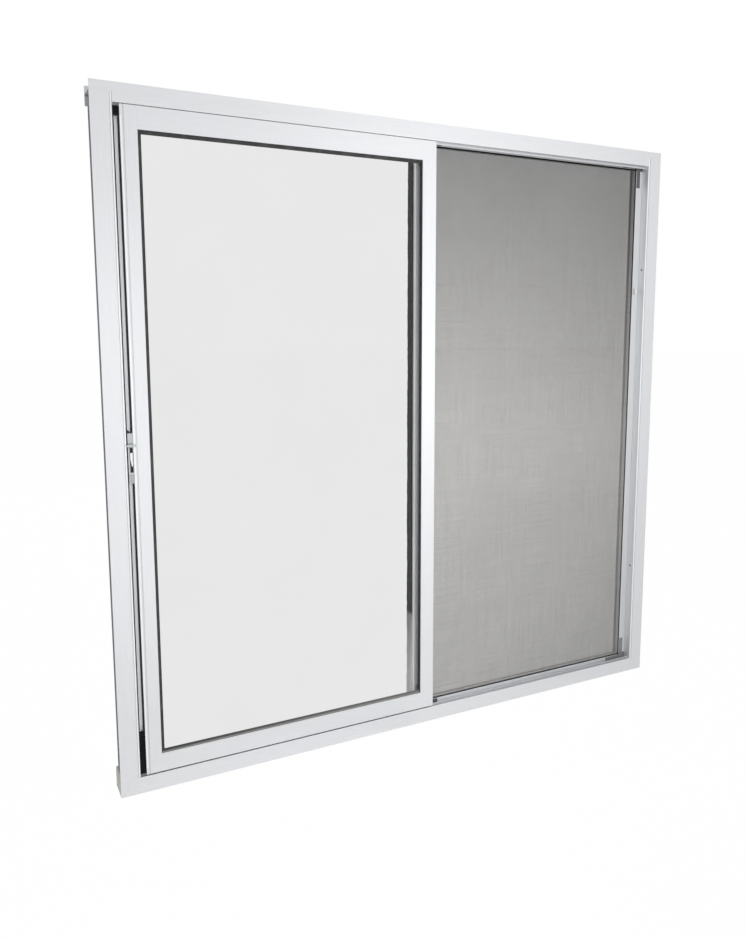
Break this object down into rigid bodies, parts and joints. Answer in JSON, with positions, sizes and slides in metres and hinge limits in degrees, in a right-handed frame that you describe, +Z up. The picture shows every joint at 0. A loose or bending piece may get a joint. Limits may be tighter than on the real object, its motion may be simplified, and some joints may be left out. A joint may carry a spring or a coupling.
{
  "type": "sliding aluminium window",
  "caption": "Sliding aluminium window with a glazed sash in front of a fixed pane, a sliding insect screen between them and a thumb latch beside the lock stile.",
  "frame": {"origin": "centre of the sill's flat underside", "axes": "+X to the right seen from the front, +Y to the back through the window's depth, +Z up"},
  "size_m": [1.2, 0.0515, 1.2],
  "materials": {
    "aluminium": "matte natural anodised",
    "glass": "clear float",
    "black_rubber": "matte extruded",
    "black_pile": "short woven pile",
    "dark_plastic": "moulded matte",
    "pale_foam": "closed-cell foam",
    "white_nylon": "moulded nylon",
    "latch_metal": "grey enamel on die-cast zinc",
    "screen_mesh": "fine woven insect mesh"
  },
  "bodies": {
    "root": {"sill": "aluminium", "head": "aluminium", "jamb_left": "aluminium", "jamb_right": "aluminium", "mullion": "aluminium", "fixed_glass": "glass", "fixed_gasket": "black_rubber", "setting_blocks": "black_rubber", "jamb_pile": "black_pile", "mullion_seal": "black_rubber", "seal_pad_left": "pale_foam", "seal_pad_right": "pale_foam", "bumper_top": "black_rubber", "bumper_bottom": "black_rubber", "keeper": "latch_metal", "sash_lock_stile": "aluminium", "pull_strip": "aluminium", "sash_meeting_stile": "aluminium", "sash_top_rail": "aluminium", "sash_bottom_rail": "aluminium", "sash_glass": "glass", "sash_gasket_front": "black_rubber", "sash_gasket_rear": "black_rubber", "roller_housings": "dark_plastic", "roller_wheels": "white_nylon", "top_guides": "dark_plastic", "lock_stile_pile": "black_pile", "meeting_pile": "black_pile", "latch_body": "latch_metal", "latch_lever": "white_nylon", "latch_crossbar": "latch_metal", "screen_top_bar": "aluminium", "screen_bottom_bar": "aluminium", "screen_left_bar": "aluminium", "screen_right_bar": "aluminium", "screen_corner_top_left": "dark_plastic", "screen_corner_top_right": "dark_plastic", "screen_corner_bottom_left": "dark_plastic", "screen_corner_bottom_right": "dark_plastic", "screen_mesh": "screen_mesh", "screen_spline": "black_rubber", "screen_pull": "white_nylon"}
  },
  "joints": []
}
